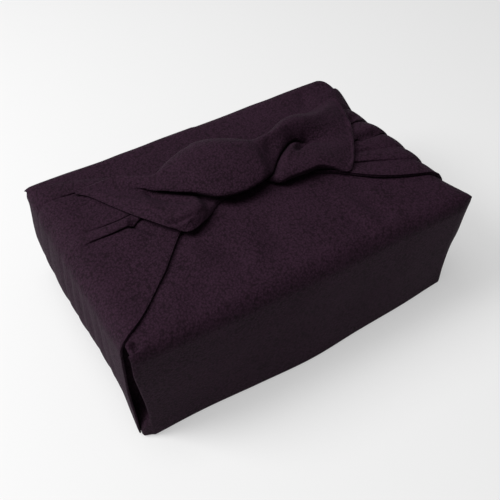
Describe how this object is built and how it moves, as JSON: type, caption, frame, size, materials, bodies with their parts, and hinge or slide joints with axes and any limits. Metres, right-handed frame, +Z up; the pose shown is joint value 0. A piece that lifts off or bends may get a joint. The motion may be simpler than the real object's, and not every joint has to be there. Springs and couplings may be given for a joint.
{
  "type": "furoshiki wrap",
  "caption": "Flat rectangular bundle in dark purple crepe furoshiki cloth, its ends gathered over the top and tied in a flat knot with the tails laid out to either side.",
  "frame": {"origin": "on the flat underside, under the middle of the bundle", "axes": "+X along the bundle's length, -Y towards the plain front panel, +Z up towards the knot"},
  "size_m": [0.2514, 0.1685, 0.1051],
  "materials": {
    "cloth": "matte crepe"
  },
  "bodies": {
    "root": {"furoshiki": "cloth"}
  },
  "joints": []
}
